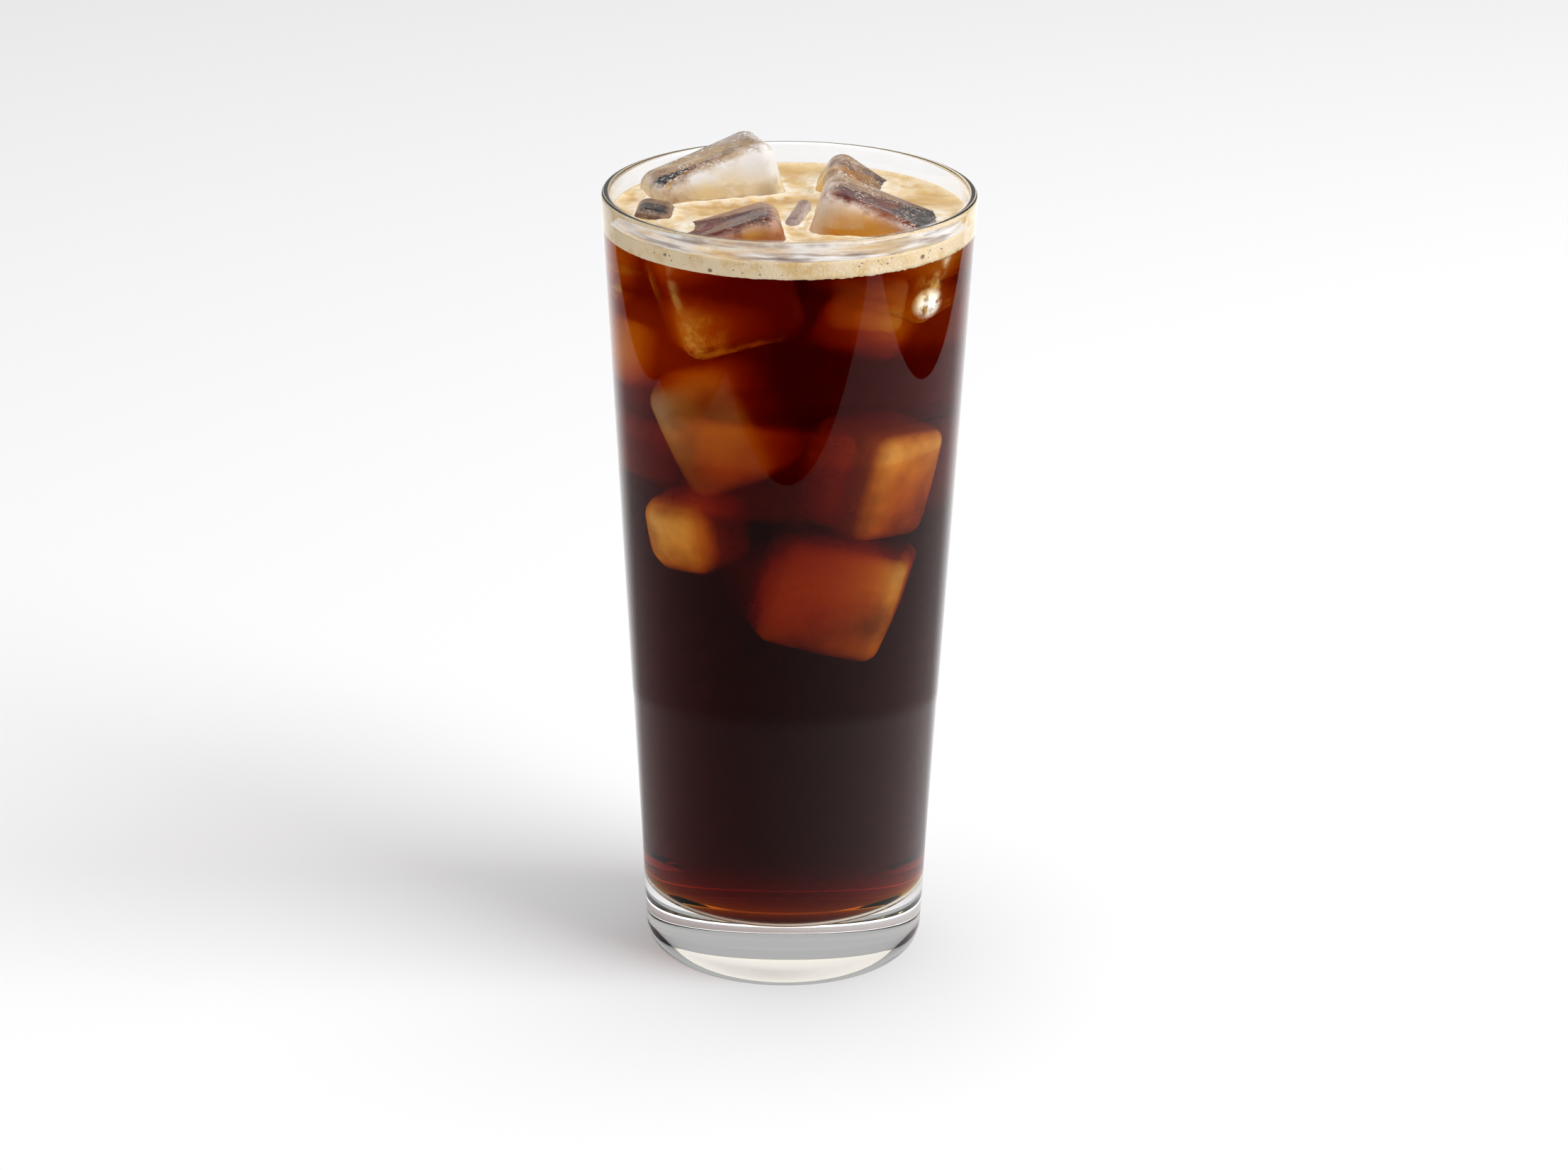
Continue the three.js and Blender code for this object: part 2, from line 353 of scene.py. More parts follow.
# Where standing cubes are frosted under the coffee: the place in metres, the solid core and the reach in
# millimetres, and the strength.
FROSTED_SPOTS = [
    ((0.0258, -0.0205, 0.1462), 2.2, 5.2, 1.0),
    ((-0.0159, -0.0254, 0.1379), 1.5, 7.5, 0.75),
]


def cube_places(half, round_):
    """Places across a cube's face: even on the flat, and at tan(a) of the edge radius on its round ends."""
    flat = half - round_
    bend = round_ * np.tan(np.linspace(0, math.pi / 4, CUBE_STEPS // 4 + 1)[1:])
    middle = np.linspace(-flat, flat, CUBE_STEPS // 2 + 1)
    return np.concatenate([-flat - bend[::-1], middle, flat + bend])


def cube_surface(cube, grow=0.0):
    """Points in metres, faces and looks of one cube, grown by grow millimetres. A point p on the sharp box
    is drawn in to c + r n, where c is p held inside the box less its edge radius r, and n points from c to
    p. The faces are hollowed by a product of parabolas, the cube narrows downwards, and then it is turned
    and set in its place. The looks are how far a point lies on an edge, how far its face looks up, and how
    far it looks out to the wall. Points that fall together are made one."""
    half = np.array(cube["half"]) + grow
    round_ = cube["round"] + grow
    points, faces, count = [], [], 0
    for axis in range(3):
        a, b = (axis + 1) % 3, (axis + 2) % 3
        places_a = cube_places(half[a], round_)
        places_b = cube_places(half[b], round_)
        across_a, across_b = np.meshgrid(places_a, places_b, indexing="ij")
        index = np.arange(across_a.size).reshape(across_a.shape)
        corners = [index[:-1, :-1], index[1:, :-1], index[1:, 1:], index[:-1, 1:]]
        for side in (-1, 1):
            sheet = np.empty((*across_a.shape, 3))
            sheet[..., axis] = side * half[axis]
            sheet[..., a] = across_a
            sheet[..., b] = across_b
            points.append(sheet.reshape(-1, 3))
            quads = np.stack(corners, -1).reshape(-1, 4)
            if side < 0:
                quads = quads[:, ::-1]
            faces.append(quads + count)
            count += across_a.size
    box = np.vstack(points)
    inner = np.clip(box, round_ - half, half - round_)
    outward = box - inner
    outward /= np.linalg.norm(outward, axis=1, keepdims=True)
    across = box / half
    bowl = np.clip(np.prod(1 - across**2 + outward**2, axis=1), 0, 1)
    placed = inner + outward * (round_ - cube["hollow"] * bowl)[:, None]
    placed[:, :2] *= 1 + cube["taper"] * placed[:, 2:] / half[2]
    turn = cube_turn(cube)
    placed = placed @ turn.T + np.array(cube["centre"])
    bend = (1 - np.abs(outward).max(1)) / (1 - 1 / math.sqrt(3))
    rise = (outward @ turn.T)[:, 2]
    keys = np.round(placed / SAME_POINT).astype(np.int64)
    _, first, inverse = np.unique(keys, axis=0, return_index=True, return_inverse=True)
    radial = placed[:, :2] / np.linalg.norm(placed[:, :2], axis=1, keepdims=True)
    outwards = ((outward @ turn.T)[:, :2] * radial).sum(1)
    looks = {"bend": bend[first], "rise": rise[first], "outwards": outwards[first]}
    return placed[first] * MM, inverse.reshape(-1)[np.vstack(faces)], looks


def cube_turn(cube):
    """The cube's turn as a matrix: about Y first, then X, then Z."""
    about_z, about_x, about_y = (math.radians(degrees) for degrees in cube["turn"])
    turn = Matrix.Rotation(about_z, 3, "Z") @ Matrix.Rotation(about_x, 3, "X")
    return np.array(turn @ Matrix.Rotation(about_y, 3, "Y"))


def gap_to_cube(points, cube):
    """Distance in millimetres from each point to the cube with its round edges, below 0 inside it."""
    local = (points / MM - np.array(cube["centre"])) @ cube_turn(cube)
    past = np.abs(local) - (np.array(cube["half"]) - cube["round"])
    return np.linalg.norm(np.maximum(past, 0), axis=1) + np.minimum(past.max(1), 0) - cube["round"]


def add_looks(piece, looks):
    """Keeps a number for each vertex under its name, for the material to read."""
    for name, values in looks.items():
        layer = piece.data.attributes.new(name, "FLOAT", "POINT")
        layer.data.foreach_set("value", values.astype(np.float32))


def attribute(tree, name):
    """A number kept for each vertex under this name."""
    return Wire.node(tree, "ShaderNodeAttribute", {"attribute_name": name}, None, 2)


def smooth_step(value, low, high, to_low=0.0, to_high=1.0):
    """value's low to high range eased into the given one."""
    return Wire.node(value.tree, "ShaderNodeMapRange", {"interpolation_type": "SMOOTHSTEP"}, {
        "Value": value, "From Min": low, "From Max": high, "To Min": to_low, "To Max": to_high,
    })


def noise(tree, where, scale, detail=2.0, low=0.0, high=1.0, to_low=0.0, to_high=1.0):
    """Cloudy noise with about scale clouds a metre, its low to high range stretched to the given one."""
    cloud = Wire.node(tree, "ShaderNodeTexNoise", None, {"Vector": where, "Scale": scale, "Detail": detail})
    return Wire.node(tree, "ShaderNodeMapRange", {"clamp": True}, {
        "Value": cloud, "From Min": low, "From Max": high, "To Min": to_low, "To Max": to_high,
    })


def mixed_colour(tree, share, first, second):
    """The first colour turned into the second by a share of 0 to 1."""
    return Wire.node(tree, "ShaderNodeMix", {"data_type": "RGBA"}, {0: share, 6: first, 7: second}, 2)


def mixed_shader(tree, share, first, second):
    """The first shader turned into the second by a share of 0 to 1."""
    return Wire.node(tree, "ShaderNodeMixShader", None, {0: share, 1: first, 2: second})


def clear_ice(name, pale, stains, stain_top):
    """Clear ice in air. Upward faces have patches tinted dark brown, which is painted shade, and white
    specks. Sides are frosted white or pale, and stained by coffee toward the bottom with colours that change
    along X. Edges have lost their gloss. Soft waves and a fine grain bend what is seen through it."""
    material, tree = new_material(name)
    where = Wire.node(tree, "ShaderNodeTexCoord", None, None, 3)
    bend = attribute(tree, "bend")
    rise = attribute(tree, "rise")
    height = Wire.node(tree, "ShaderNodeSeparateXYZ", None, {0: where}, 2)
    upward = smooth_step(rise, 0.45, 0.85)
    clouds = noise(tree, where, 130.0, 4.0, 0.3, 0.6)
    above_foam = smooth_step(height, FOAM_LEVEL, FOAM_LEVEL + 0.005, 0.5, 1.0)
    sides = (1.0 - upward) * above_foam * (clouds * 0.6 + 0.3)
    fine_specks = noise(tree, where, 1500.0, 3.0, 0.52, 0.62)
    specks = upward * fine_specks * noise(tree, where, 240.0, 3.0, 0.40, 0.60)
    rims = bend * noise(tree, where, 300.0, 4.0, 0.38, 0.62, 0.1, 1.3)
    white = sides + specks * 0.8 + rims
    share = white.maths("MINIMUM", white, 0.95)
    low_down = smooth_step(height - clouds * 0.001, FOAM_LEVEL + 0.001, stain_top, 1.0, 0.0)
    stained = low_down * (1.0 - upward * 0.6)
    left, right = stains[0][0], stains[-1][0]
    along = Wire.node(tree, "ShaderNodeSeparateXYZ", None, {0: where}, 0) + clouds * 0.003 - (left + 0.0015)
    stain = Wire.node(tree, "ShaderNodeValToRGB", {
        "stops": [((place - left) / (right - left), colour) for place, colour in stains],
    }, {"Fac": along * (1 / (right - left))})
    tone = mixed_colour(tree, stained, (*pale, 1), stain)
    # Painted shade: patches of the upward faces are tinted dark brown, so the tops look dark.
    coffee_soak_and_top_shade = upward * noise(tree, where, 190.0, 3.0, 0.3, 0.55, 0.45, 0.9)
    top_shade_tint = mixed_colour(tree, coffee_soak_and_top_shade, (1, 1, 1, 1), (*TOP_PAINTED_SHADE, 1))
    waves = noise(tree, where, 110.0, 1.5)
    grain = noise(tree, where, 1300.0, 3.0)
    soft = Wire.node(tree, "ShaderNodeBump", None, {"Strength": 0.6, "Distance": 0.0012, "Height": waves})
    bump = Wire.node(tree, "ShaderNodeBump", None, {
        "Strength": 0.5, "Distance": 0.00012, "Height": grain * (share * 1.2 + 0.1), "Normal": soft,
    })
    ice = Wire.node(tree, "ShaderNodeBsdfPrincipled", None, {
        "Base Color": top_shade_tint, "Roughness": share * 0.25 + 0.015, "IOR": ICE_IOR,
        "Transmission Weight": 1, "Normal": bump,
    })
    face = Wire.node(tree, "ShaderNodeBsdfPrincipled", None, {
        "Base Color": tone, "Roughness": 0.5, "IOR": ICE_IOR,
    })
    middle_stain = np.mean([colour for _, colour in stains], 0)
    pale_glow = Wire.node(tree, "ShaderNodeBsdfTranslucent", None, {"Color": (*pale, 1)})
    stain_glow = Wire.node(tree, "ShaderNodeBsdfTranslucent", None, {"Color": (*middle_stain, 1)})
    through = mixed_shader(tree, stained, pale_glow, stain_glow)
    frost = mixed_shader(tree, 0.4, face, through)
    finish_material(tree, lets_lamps_through(tree, mixed_shader(tree, share, ice, frost)))
    return material


def sunken_ice(name, cloud, coffee_soak_and_top_shade, clear_to, frosted_edges=0.0):
    """Ice under coffee: its own sheen is gone, and its clouded sides toward the wall show, the browner the
    more coffee it holds. Where asked, so do its frosted edges, the lower ones most, and the frosted
    spots. Nearer the axis than clear_to millimetres it is clear."""
    material, tree = new_material(name)
    where = Wire.node(tree, "ShaderNodeTexCoord", None, None, 3)
    flat = Wire.node(tree, "ShaderNodeVectorMath", {"operation": "MULTIPLY"}, {0: where, 1: (1, 1, 0)})
    far = Wire.node(tree, "ShaderNodeVectorMath", {"operation": "LENGTH"}, {0: flat}, 1)
    outside = smooth_step(far, clear_to * MM, (clear_to + 7) * MM)
    wallward = smooth_step(attribute(tree, "outwards"), -0.1, 0.85, 0.02, 1.0)
    share = outside * wallward * noise(tree, where, 75.0, 4.0, 0.35, 0.6, cloud * 0.35, cloud)
    if frosted_edges:
        lower = smooth_step(attribute(tree, "rise"), -0.45, -0.05, 1.0, 0.3)
        edges = smooth_step(attribute(tree, "bend"), 0.05, 0.6) * noise(tree, where, 210.0, 5.0, 0.44, 0.62)
        speckle = noise(tree, where, 900.0, 3.0, 0.35, 0.6, 0.35, 1.0)
        speckle = speckle * noise(tree, where, 330.0, 4.0, 0.36, 0.56)
        share = share + edges * lower * smooth_step(far, 0.020, 0.026) * frosted_edges
        for place, core, reach, strength in FROSTED_SPOTS:
            ends = {0: where, 1: place}
            away = Wire.node(tree, "ShaderNodeVectorMath", {"operation": "DISTANCE"}, ends, 1)
            share = share + smooth_step(away, core * MM, reach * MM, strength, 0.0) * speckle
        share = share.maths("MINIMUM", share, 1.0)
    clear = Wire.node(tree, "ShaderNodeBsdfTransparent")
    milky = Wire.node(tree, "ShaderNodeBsdfPrincipled", None, {
        "Base Color": (0.92, 0.92 - 0.3 * coffee_soak_and_top_shade, 0.92 - 0.62 * coffee_soak_and_top_shade, 1), "Roughness": 0.8,
        "Specular IOR Level": 0.0,
    })
    finish_material(tree, mixed_shader(tree, share, clear, milky))
    return material


ice_in_coffee = sunken_ice("ice under coffee", 0.0, 0.0, 20, 0.9)
for name, cube in STANDING.items():
    points, faces, looks = cube_surface(cube)
    under = (points[faces][:, :, 2].mean(1) < COFFEE_LEVEL).astype(int)
    ice_in_air = clear_ice("clear ice, " + name, cube["pale"], cube["stains"], cube["stain_top"])
    piece = mesh_piece("cube_" + name, points, faces.tolist(), [ice_in_air, ice_in_coffee], under)
    add_looks(piece, looks)
    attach(piece, "root")
    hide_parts(name)
for name, cube in SUNKEN.items():
    points, faces, looks = cube_surface(cube)
    cloudy_ice = sunken_ice("ice, " + name, cube["cloud"], cube["coffee_soak_and_top_shade"], cube["clear_to"])
    piece = mesh_piece(name, points, faces.tolist(), [cloudy_ice])
    add_looks(piece, looks)
    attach(piece, "root")


# The coffee
# Strong black coffee, red-brown where it is thin and nearly black where it is deep. It fills the tumbler
# up to the foam, wets the wall and lies round every cube. The melting ice has thinned its upper part.

COFFEE_COLOUR = (0.89, 0.71, 0.25)
STRONG = 720.0
THINNED = 480.0
MELT_LEVEL = 0.112
INTO_WALL = 0.00005
ROUND_ICE = 0.05
COFFEE_AROUND = 192
COFFEE_SIDE_STEPS = 16
BETWEEN_LAYERS = 0.00001


def coffee_material(name, density):
    """Clear at its skin, because the wetted wall bends the light, and absorbing blue most and red least."""
    material, tree = new_material(name)
    skin = Wire.node(tree, "ShaderNodeBsdfPrincipled", None, {
        "Base Color": (1, 1, 1, 1), "Roughness": 0, "IOR": 1.0, "Transmission Weight": 1,
    })
    absorb = Wire.node(tree, "ShaderNodeVolumeAbsorption", None, {
        "Color": (*COFFEE_COLOUR, 1), "Density": density,
    })
    finish_material(tree, lets_lamps_through(tree, skin), absorb)
    return material


def cut_out(piece, cutter):
    """Takes cutter's space out of piece, and removes cutter."""
    cut = piece.modifiers.new("cut", "BOOLEAN")
    cut.operation = "DIFFERENCE"
    cut.solver = "EXACT"
    cut.object = cutter
    shown = piece.evaluated_get(bpy.context.evaluated_depsgraph_get())
    result = bpy.data.meshes.new_from_object(shown)
    piece.modifiers.remove(cut)
    whole = piece.data
    piece.data = result
    bpy.data.meshes.remove(whole)
    removed = cutter.data
    bpy.data.objects.remove(cutter)
    bpy.data.meshes.remove(removed)


def coffee_body(name, low, high, material):
    """The coffee between two heights: a turned body less every cube that reaches into it."""
    corner = BASE_THICKNESS + BASE_CROWN + INNER_FILLET
    if low == 0:
        start = np.vstack([inner_bottom(-INTO_WALL), [(inner_radius(corner) + INTO_WALL, corner)]])
    else:
        start = np.array([(0, low), (inner_radius(low) + INTO_WALL, low)])
    end = np.array([(inner_radius(high) + INTO_WALL, high), (0, high)])
    side = straight(start[-1], end[0], COFFEE_SIDE_STEPS)
    outline = np.vstack([start[:-1] if low == 0 else start, side, end])
    points, faces = turned(outline, COFFEE_AROUND)
    body = mesh_piece(name, points, faces, [material])
    for cube in [*STANDING.values(), *SUNKEN.values()]:
        points, faces, _ = cube_surface(cube, ROUND_ICE)
        if points[:, 2].max() > low and points[:, 2].min() < high:
            cut_out(body, mesh_piece("cutter", points, faces.tolist(), [material]))
    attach(body, "root")
    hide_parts("coffee")


coffee_body("coffee_strong", 0, MELT_LEVEL - BETWEEN_LAYERS, coffee_material("black coffee", STRONG))
coffee_body("coffee_thinned", MELT_LEVEL, COFFEE_LEVEL, coffee_material("thinned coffee", THINNED))


# The foam
# A thin tan foam of fine bubbles that floats on the coffee, climbs a little up the wall and up the cubes,
# and is palest and coarsest along both.

FOAM_CLIMB = 0.0004
FOAM_CLIMB_WIDTH = 0.003
FOAM_RINGS = 120
FOAM_RINGS_UNDER = 40
FOAM_SIDE_STEPS = 6
FOAM_AROUND = 420
FOAM_WAVES = 40
FOAM_WAVE_LENGTHS = (0.002, 0.012)
RAG_WAVES = 24
FOAM_INTO_WALL = 0.00008
FOAM_RAGS = 0.0003
FOAM_OVER_COFFEE = 0.00002
FOAM_ROLL = 0.00012
CUBE_CLIMB = 0.0004
CUBE_CLIMB_REACH = 1.0 * MM
PALE_BY_ICE = 0.0022
PALE_BY_WALL = 0.0018
FROTH_BY_ICE = 0.0026
CLEAR_OF_WALL = 0.002
FOAM_TONES = [
    (0.0, (0.40, 0.21, 0.06)), (0.25, (0.56, 0.35, 0.13)), (0.55, (0.66, 0.47, 0.23)),
    (1.0, (0.76, 0.62, 0.42)),
]
FROTH_TONE = (0.86, 0.79, 0.71)


def bubble_cells(tree, where, scale):
    """Cells of foam bubbles, about scale a metre: 0 at the walls between them, more toward the middles."""
    return Wire.node(tree, "ShaderNodeTexVoronoi", {"feature": "DISTANCE_TO_EDGE"}, {
        "Vector": where, "Scale": scale,
    })


def foam_material():
    """Golden tan in the open, pale beside the wall and white with froth beside the ice, with two sizes of
    bubbles pressed together."""
    material, tree = new_material("coffee foam")
    where = Wire.node(tree, "ShaderNodeTexCoord", None, None, 3)
    rim = attribute(tree, "rim")
    stretched = Wire.node(tree, "ShaderNodeMapping", None, {"Vector": where, "Scale": (0.35, 1.0, 1.0)})
    swirl = noise(tree, stretched, 170.0, 5.0, 0.36, 0.66)
    fine = bubble_cells(tree, where, 2600.0)
    coarse = bubble_cells(tree, where, 1000.0)
    pale = rim * noise(tree, where, 300.0, 3.0, 0.35, 0.6, 0.5, 1.0) + swirl * 0.45
    between = Wire.node(tree, "ShaderNodeMapRange", {"clamp": True}, {
        "Value": coarse, "From Min": 0.0, "From Max": 0.25, "To Min": 1.0, "To Max": 0.0,
    })
    colour = Wire.node(tree, "ShaderNodeValToRGB", {"stops": FOAM_TONES}, {
        "Fac": pale - between * rim * 0.12,
    })
    bump = Wire.node(tree, "ShaderNodeBump", None, {
        "Strength": 0.7, "Distance": 0.00025, "Height": fine * 0.5 + coarse * rim * 1.2 + swirl * 0.6,
    })
    froth = attribute(tree, "froth") * noise(tree, where, 420.0, 4.0, 0.42, 0.64, 0.0, 0.85)
    tone = mixed_colour(tree, froth, colour, (*FROTH_TONE, 1))
    foam = Wire.node(tree, "ShaderNodeBsdfPrincipled", None, {
        "Base Color": tone, "Roughness": 0.4, "IOR": 1.33, "Normal": bump,
        "Subsurface Weight": 0.3, "Subsurface Radius": (0.0012, 0.0008, 0.0004), "Subsurface Scale": 1.0,
    })
    finish_material(tree, foam)
    return material


def foam_outline():
    """Flat underside, wall side, and the top with its climb as a parabola over the last few millimetres."""
    low = COFFEE_LEVEL + FOAM_OVER_COFFEE
    edge = inner_radius(FOAM_LEVEL + FOAM_CLIMB) + FOAM_INTO_WALL
    r = np.linspace(edge, 0, FOAM_RINGS)
    climb = FOAM_CLIMB * np.clip((r - edge + FOAM_CLIMB_WIDTH) / FOAM_CLIMB_WIDTH, 0, 1) ** 2
    top = np.stack([r, FOAM_LEVEL + climb], 1)
    side = straight((inner_radius(low) + FOAM_INTO_WALL, low), top[0], FOAM_SIDE_STEPS)
    under = np.linspace(0, inner_radius(low) + FOAM_INTO_WALL, FOAM_RINGS_UNDER)
    return np.vstack([np.stack([under, np.full(len(under), low)], 1), side, top])


def rolling(x, y):
    """Gentle unevenness of about 1 at most: a sum of many waves of seeded directions and lengths."""
    spread = np.random.default_rng(7)
    angle = spread.uniform(0, 2 * math.pi, FOAM_WAVES)
    length = spread.uniform(*FOAM_WAVE_LENGTHS, FOAM_WAVES)
    phase = spread.uniform(0, 2 * math.pi, FOAM_WAVES)
    run = (x[:, None] * np.cos(angle) + y[:, None] * np.sin(angle)) / length * 2 * math.pi + phase
    return np.cos(run).sum(1) / math.sqrt(FOAM_WAVES)


def ragged(angle):
    """How far the foam hangs down the wall, 0 to about 1: the positive part of seeded waves, most on the
    right."""
    spread = np.random.default_rng(11)
    waves = spread.integers(14, 200, RAG_WAVES)
    phase = spread.uniform(0, 2 * math.pi, RAG_WAVES)
    sway = np.cos(angle[:, None] * waves + phase).sum(1) / math.sqrt(RAG_WAVES)
    return np.clip(sway * 0.5 + 0.3, 0, 2) * (0.25 + 0.75 * np.clip(np.cos(angle + 0.5), 0, 1))


def gap_to_ice(points):
    """Distance in metres from each point to the nearest standing cube, 0 inside it."""
    gaps = [gap_to_cube(points, cube) for cube in STANDING.values()]
    return np.maximum(np.min(gaps, axis=0), 0) * MM


points, faces = turned(foam_outline(), FOAM_AROUND)
from_axis = np.hypot(points[:, 0], points[:, 1])
underside = points[:, 2] < COFFEE_LEVEL + 1.5 * FOAM_OVER_COFFEE
lowest = underside & (from_axis > inner_radius(COFFEE_LEVEL))
points[lowest, 2] -= FOAM_RAGS * ragged(np.arctan2(points[lowest, 1], points[lowest, 0]))
on_top = np.clip((points[:, 2] - FOAM_LEVEL + FOAM_CLIMB) / FOAM_CLIMB, 0, 1)
inside = np.clip((inner_radius(FOAM_LEVEL) - from_axis) / CLEAR_OF_WALL, 0, 1)
climb = CUBE_CLIMB * np.exp(-gap_to_ice(points) / CUBE_CLIMB_REACH)
points[:, 2] += on_top * inside * (climb + FOAM_ROLL * rolling(points[:, 0], points[:, 1]))
foam = mesh_piece("foam_layer", points, faces, [foam_material()])
for cube in STANDING.values():
    points, faces, _ = cube_surface(cube, ROUND_ICE)
    cut_out(foam, mesh_piece("cutter", points, faces.tolist(), [foam.data.materials[0]]))
points = np.empty(len(foam.data.vertices) * 3)
foam.data.vertices.foreach_get("co", points)
points = points.reshape(-1, 3)
ice_gap = gap_to_ice(points)
wall_gap = inner_radius(points[:, 2]) - np.hypot(points[:, 0], points[:, 1])
by_wall = np.exp(-np.maximum(wall_gap, 0) / PALE_BY_WALL)
add_looks(foam, {
    "rim": np.maximum(np.exp(-ice_gap / PALE_BY_ICE), by_wall),
    "froth": np.exp(-ice_gap / FROTH_BY_ICE) * np.clip(wall_gap / CLEAR_OF_WALL, 0, 1),
})
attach(foam, "root")
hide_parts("foam")


# The smears and painted reflections above the foam
# Streaks drawn out along the wall above the foam: partly thin wet foam and coffee that clung to the wall,
# partly painted reflection. They are thickest at the front, where the cubes lean on the wall, and end toward
# the back.

SMEAR_LOW = FOAM_LEVEL + 0.0002
SMEAR_HIGH = 0.1602
SMEAR_LOW_FADE = 0.0004
SMEAR_HIGH_FADE = 0.0008
SMEAR_OFF_WALL = 0.00004
SMEAR_SPAN = (-1.35 * math.pi, 0.35 * math.pi)
SMEAR_COLUMNS = 241
SMEAR_ROWS = 9
# Brown to white tones of the streaks: smeared coffee and foam, and painted reflection.
SMEAR_AND_REFLECTION_TONES = [
    (0.0, (0.24, 0.16, 0.13)), (0.35, (0.47, 0.39, 0.35)), (0.6, (0.78, 0.74, 0.70)),
    (1.0, (0.95, 0.94, 0.92)),
]


def smear_and_reflection_material():
    """See-through between the streaks. Noise stretched nine times along the wall sets how thick a streak is
    and its tone from brown to white: smeared coffee and foam, and painted reflection."""
    material, tree = new_material("smears on the wall")
    along = attribute(tree, "along")
    up = attribute(tree, "up")
    front = attribute(tree, "front")
    place = Wire.node(tree, "ShaderNodeCombineXYZ", None, {0: along * 0.11, 1: up + along * 0.02, 2: 0.0})
    thick = noise(tree, place, 620.0, 5.0, 0.32, 0.58)
    tone = noise(tree, place, 900.0, 4.0, 0.36, 0.64)
    colour = Wire.node(tree, "ShaderNodeValToRGB", {"stops": SMEAR_AND_REFLECTION_TONES}, {"Fac": tone})
    streak = Wire.node(tree, "ShaderNodeBsdfPrincipled", None, {"Base Color": colour, "Roughness": 0.35})
    clear = Wire.node(tree, "ShaderNodeBsdfTransparent")
    # Smears and painted reflection: the streaks are laid over clear glass, most at the front.
    finish_material(tree, mixed_shader(tree, thick * front * 0.96, clear, streak))
    return material


def smear_and_reflection_sheet():
    """A strip just inside the wall: angle t and height z give (r cos t, r sin t, z) with r the inner radius.
    Its looks are the way along the wall, the height, and how thick the smears and painted reflections are:
    most at the front."""
    turn = np.linspace(*SMEAR_SPAN, SMEAR_COLUMNS)
    height = np.linspace(SMEAR_LOW, SMEAR_HIGH, SMEAR_ROWS)
    angle, z = np.meshgrid(turn, height, indexing="ij")
    r = inner_radius(z) - SMEAR_OFF_WALL
    points = np.stack([r * np.cos(angle), r * np.sin(angle), z], -1).reshape(-1, 3)
    index = np.arange(len(points)).reshape(angle.shape)
    corners = [index[:-1, :-1], index[1:, :-1], index[1:, 1:], index[:-1, 1:]]
    faces = np.stack(corners, -1).reshape(-1, 4)
    ahead = np.clip((np.cos(angle + math.pi / 2) + 0.25) / 0.8, 0, 1)
    low_edge = np.clip((z - SMEAR_LOW) / SMEAR_LOW_FADE, 0.4, 1)
    high_edge = np.clip((SMEAR_HIGH - z) / SMEAR_HIGH_FADE, 0, 1)
    looks = {"along": (angle * r).ravel(), "up": z.ravel(), "front": (ahead * low_edge * high_edge).ravel()}
    return points, faces, looks


points, faces, looks = smear_and_reflection_sheet()
smears_and_reflections = mesh_piece("smears_and_reflections", points, faces.tolist(), [smear_and_reflection_material()])
add_looks(smears_and_reflections, looks)
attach(smears_and_reflections, "root")


# The bubbles and the frost at the wall
# Small bubbles that hang between foam and wall, brown in the middle with a dark ring of painted shade and a
# pale skin of painted highlight, and a patch of frost that came off a cube on the right and lies against the
# wall under the coffee.

# The three large bubbles: degrees round the wall, height and half width.
BUBBLES = [(-131.6, 0.1547, 0.55 * MM), (-115.0, 0.1533, 0.65 * MM), (-44.3, 0.1542, 0.75 * MM)]
BUBBLE_DEPTH = 0.00014
BUBBLE_SQUASH = 0.85
BUBBLE_STEPS = (8, 12)
SMALL_BUBBLES = 30
SMALL_BUBBLE_ANGLES = (-2.9, -0.2)
SMALL_BUBBLES_UNDER_FOAM_TOP = (0.0002, 0.0022)
SMALL_BUBBLE_SIZES = (0.00012, 0.00030)
# Brown middle, a dark ring of painted shade, and a pale edge of painted highlight, by the edge share.
BUBBLE_TONES_WITH_PAINTED_LIGHT = [
    (0.0, (0.34, 0.21, 0.11)), (0.45, (0.16, 0.09, 0.05)), (0.75, (0.46, 0.34, 0.20)),
    (1.0, (0.86, 0.76, 0.60)),
]
FROST_PLACE = (-39.2, 0.1440)
FROST_HALF = (0.0048, 0.0008, 0.0036)
FROST_OFF_WALL = 0.0001
FROST_STEPS = (24, 40)


def bubble_material():
    """Brown in the middle, with painted shade in a dark ring near the edge, and a pale painted highlight at
    the skin.
    """
    material, tree = new_material("bubbles on the wall")
    colour = Wire.node(tree, "ShaderNodeValToRGB", {"stops": BUBBLE_TONES_WITH_PAINTED_LIGHT}, {"Fac": attribute(tree, "edge")})
    skin = Wire.node(tree, "ShaderNodeBsdfPrincipled", None, {"Base Color": colour, "Roughness": 0.3})
    finish_material(tree, skin)
    return material


def frost_material():
    """White where the frost is thick and see-through where it is thin, in patches that end at the edge."""
    material, tree = new_material("frost at the wall")
    where = Wire.node(tree, "ShaderNodeTexCoord", None, None, 3)
    patches = noise(tree, where, 420.0, 5.0, 0.38, 0.54)
    share = patches * smooth_step(attribute(tree, "edge"), 0.35, 0.95, 1.0, 0.0)
    white = Wire.node(tree, "ShaderNodeBsdfPrincipled", None, {
        "Base Color": (0.93, 0.93, 0.93, 1), "Roughness": 0.8, "Specular IOR Level": 0.0,
    })
    finish_material(tree, mixed_shader(tree, share, Wire.node(tree, "ShaderNodeBsdfTransparent"), white))
    return material


